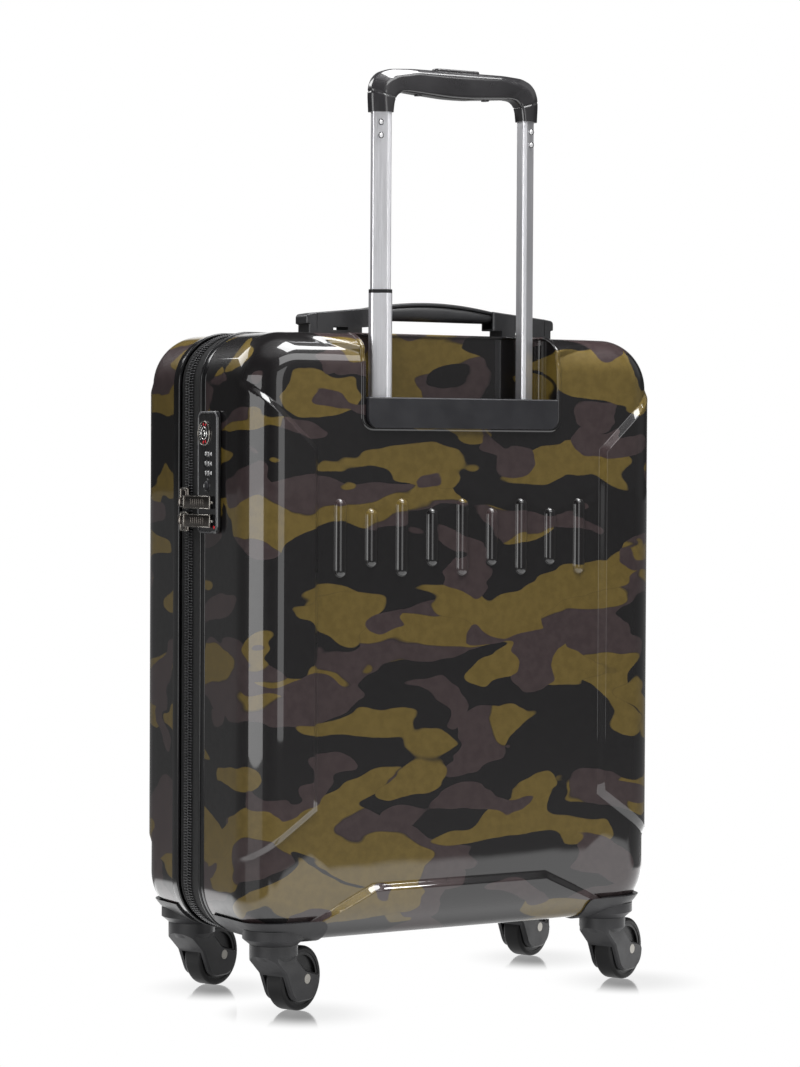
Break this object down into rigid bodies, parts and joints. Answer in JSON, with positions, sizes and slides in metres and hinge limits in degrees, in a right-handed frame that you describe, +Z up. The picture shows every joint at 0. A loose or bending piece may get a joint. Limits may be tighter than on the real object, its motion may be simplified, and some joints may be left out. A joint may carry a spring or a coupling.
{
  "type": "hard-shell cabin suitcase",
  "caption": "Hard-shell cabin suitcase with a telescopic handle, swivel casters, a zip seam with a side combination lock, and a hinged front half.",
  "frame": {"origin": "on the floor under the middle of the case's footprint", "axes": "+Z up, -Y the rear face with the telescopic handle, -X the lock side, +X the hinge side"},
  "size_m": [0.4183, 0.2059, 0.7695],
  "materials": {
    "camo_shell": "high-gloss printed polycarbonate",
    "black_trim": "satin extruded edge trim",
    "zip_tape": "woven zip tape",
    "zip_teeth": "nylon coil",
    "lining": "smooth polyester lining",
    "black_hinge": "satin",
    "steel": "plain steel",
    "bright_steel": "polished",
    "satin_aluminium": "satin anodised",
    "housing_plastic": "fine-textured dark grey",
    "grip_plastic": "gloss black",
    "collar_plastic": "matt black",
    "caster_plastic": "fine-textured dark grey",
    "hub_plastic": "satin",
    "tyre": "moulded polyurethane",
    "carry_plastic": "soft-touch black",
    "lock_plastic": "gloss black",
    "dial_plastic": "black with pale numbers",
    "key_metal": "dark chrome",
    "pull_metal": "dark nickel"
  },
  "bodies": {
    "case": {"rear_shell": "camo_shell", "rear_edge_trim": "black_trim", "rear_zip_tape": "zip_tape", "rear_zip_teeth": "zip_teeth", "rear_lining": "lining", "hinge_leaves_rear": "black_hinge", "hinge_pins": "steel", "trolley_housing": "housing_plastic", "outer_tubes": "satin_aluminium", "trolley_foot": "housing_plastic", "carry_handle_bases": "carry_plastic", "carry_handle_pins": "bright_steel", "lock_body": "lock_plastic", "lock_dial_spindle": "steel", "rear_left_corner_shoe": "caster_plastic", "rear_right_corner_shoe": "caster_plastic"},
    "lid": {"front_shell": "camo_shell", "front_edge_trim": "black_trim", "front_zip_tape": "zip_tape", "front_zip_teeth": "zip_teeth", "front_lining": "lining", "hinge_leaves_front": "black_hinge", "front_left_corner_shoe": "caster_plastic", "front_right_corner_shoe": "caster_plastic"},
    "handle": {"grip": "grip_plastic", "inner_tube_left": "satin_aluminium", "inner_tube_right": "satin_aluminium", "grip_rivets": "bright_steel"},
    "handle_button": {"grip_button": "grip_plastic", "release_rods": "steel"},
    "left_middle_stage": {"middle_tube_left": "satin_aluminium", "middle_collar_left": "collar_plastic"},
    "right_middle_stage": {"middle_tube_right": "satin_aluminium", "middle_collar_right": "collar_plastic"},
    "carry_grip": {"carry_handle": "carry_plastic"},
    "dial_1": {"lock_dial_1": "dial_plastic"},
    "dial_2": {"lock_dial_2": "dial_plastic"},
    "dial_3": {"lock_dial_3": "dial_plastic"},
    "lock_release": {"lock_button": "lock_plastic"},
    "key_plug": {"key_cylinder": "key_metal"},
    "upper_slider": {"zip_slider_upper": "pull_metal"},
    "upper_pull": {"zip_pull_upper": "pull_metal"},
    "lower_slider": {"zip_slider_lower": "pull_metal"},
    "lower_pull": {"zip_pull_lower": "pull_metal"},
    "rear_left_caster": {"rear_left_caster_fork": "caster_plastic", "rear_left_wheel_axle": "bright_steel"},
    "rear_left_wheel": {"rear_left_wheel_hub": "hub_plastic", "rear_left_tyre": "tyre"},
    "rear_right_caster": {"rear_right_caster_fork": "caster_plastic", "rear_right_wheel_axle": "bright_steel"},
    "rear_right_wheel": {"rear_right_wheel_hub": "hub_plastic", "rear_right_tyre": "tyre"},
    "front_left_caster": {"front_left_caster_fork": "caster_plastic", "front_left_wheel_axle": "bright_steel"},
    "front_left_wheel": {"front_left_wheel_hub": "hub_plastic", "front_left_tyre": "tyre"},
    "front_right_caster": {"front_right_caster_fork": "caster_plastic", "front_right_wheel_axle": "bright_steel"},
    "front_right_wheel": {"front_right_wheel_hub": "hub_plastic", "front_right_tyre": "tyre"}
  },
  "joints": [
    {"name": "lid_hinge", "type": "hinge", "parent": "case", "child": "lid", "pos_m": [0.2024, 0.01025, 0.305], "axis": [0, 0, -1], "range_deg": [0, 160]},
    {"name": "handle_slide", "type": "slide", "parent": "case", "child": "handle", "axis": [0, 0, 1], "range_m": [-0.231, 0.231]},
    {"name": "left_middle_slide", "type": "slide", "parent": "case", "child": "left_middle_stage", "axis": [0, 0, 1], "range_m": [-0.088, 0.088]},
    {"name": "right_middle_slide", "type": "slide", "parent": "case", "child": "right_middle_stage", "axis": [0, 0, 1], "range_m": [-0.176, 0.176]},
    {"name": "grip_button_press", "type": "slide", "parent": "handle", "child": "handle_button", "axis": [0, 0, -1], "range_m": [0, 0.004]},
    {"name": "carry_handle_lift", "type": "slide", "parent": "case", "child": "carry_grip", "axis": [0, 0, 1], "range_m": [0, 0.006]},
    {"name": "lock_button_press", "type": "slide", "parent": "case", "child": "lock_release", "axis": [1, 0, 0], "range_m": [0, 0.002]},
    {"name": "key_turn", "type": "hinge", "parent": "case", "child": "key_plug", "pos_m": [-0.198, -0.026, 0.469], "axis": [1, 0, 0], "range_deg": [0, 90]},
    {"name": "upper_slider_slide", "type": "slide", "parent": "case", "child": "upper_slider", "axis": [0, 0, 1], "range_m": [0, 0.085]},
    {"name": "lower_slider_slide", "type": "slide", "parent": "case", "child": "lower_slider", "axis": [0, 0, 1], "range_m": [-0.27, 0]},
    {"name": "upper_pull_swing", "type": "hinge", "parent": "upper_slider", "child": "upper_pull", "pos_m": [-0.2042, 0.012, 0.413], "axis": [0, 0, -1], "range_deg": [0, 150]},
    {"name": "lower_pull_swing", "type": "hinge", "parent": "lower_slider", "child": "lower_pull", "pos_m": [-0.2042, 0.012, 0.398], "axis": [0, 0, -1], "range_deg": [0, 150]},
    {"name": "dial_1_turn", "type": "hinge", "parent": "case", "child": "dial_1", "pos_m": [-0.1982, -0.03, 0.4522], "axis": [0, 0, 1], "continuous": true},
    {"name": "dial_2_turn", "type": "hinge", "parent": "case", "child": "dial_2", "pos_m": [-0.1982, -0.03, 0.4445], "axis": [0, 0, 1], "continuous": true},
    {"name": "dial_3_turn", "type": "hinge", "parent": "case", "child": "dial_3", "pos_m": [-0.1982, -0.03, 0.4368], "axis": [0, 0, 1], "continuous": true},
    {"name": "rear_left_swivel", "type": "hinge", "parent": "case", "child": "rear_left_caster", "pos_m": [-0.161, -0.072, 0.053], "axis": [0, 0, 1], "continuous": true},
    {"name": "rear_left_wheel_spin", "type": "hinge", "parent": "rear_left_caster", "child": "rear_left_wheel", "pos_m": [-0.13645, -0.06076, 0.0265], "axis": [-0.4163, 0.9092, 0], "continuous": true},
    {"name": "rear_right_swivel", "type": "hinge", "parent": "case", "child": "rear_right_caster", "pos_m": [0.161, -0.072, 0.053], "axis": [0, 0, 1], "continuous": true},
    {"name": "rear_right_wheel_spin", "type": "hinge", "parent": "rear_right_caster", "child": "rear_right_wheel", "pos_m": [0.18555, -0.06076, 0.0265], "axis": [-0.4163, 0.9092, 0], "continuous": true},
    {"name": "front_left_swivel", "type": "hinge", "parent": "lid", "child": "front_left_caster", "pos_m": [-0.161, 0.072, 0.053], "axis": [0, 0, 1], "continuous": true},
    {"name": "front_left_wheel_spin", "type": "hinge", "parent": "front_left_caster", "child": "front_left_wheel", "pos_m": [-0.13645, 0.08324, 0.0265], "axis": [-0.4163, 0.9092, 0], "continuous": true},
    {"name": "front_right_swivel", "type": "hinge", "parent": "lid", "child": "front_right_caster", "pos_m": [0.161, 0.072, 0.053], "axis": [0, 0, 1], "continuous": true},
    {"name": "front_right_wheel_spin", "type": "hinge", "parent": "front_right_caster", "child": "front_right_wheel", "pos_m": [0.18555, 0.08324, 0.0265], "axis": [-0.4163, 0.9092, 0], "continuous": true}
  ],
  "couplings": [
    {"joint": "left_middle_slide", "follows": "handle_slide", "ratio": 0.38095},
    {"joint": "right_middle_slide", "follows": "handle_slide", "ratio": 0.7619}
  ]
}
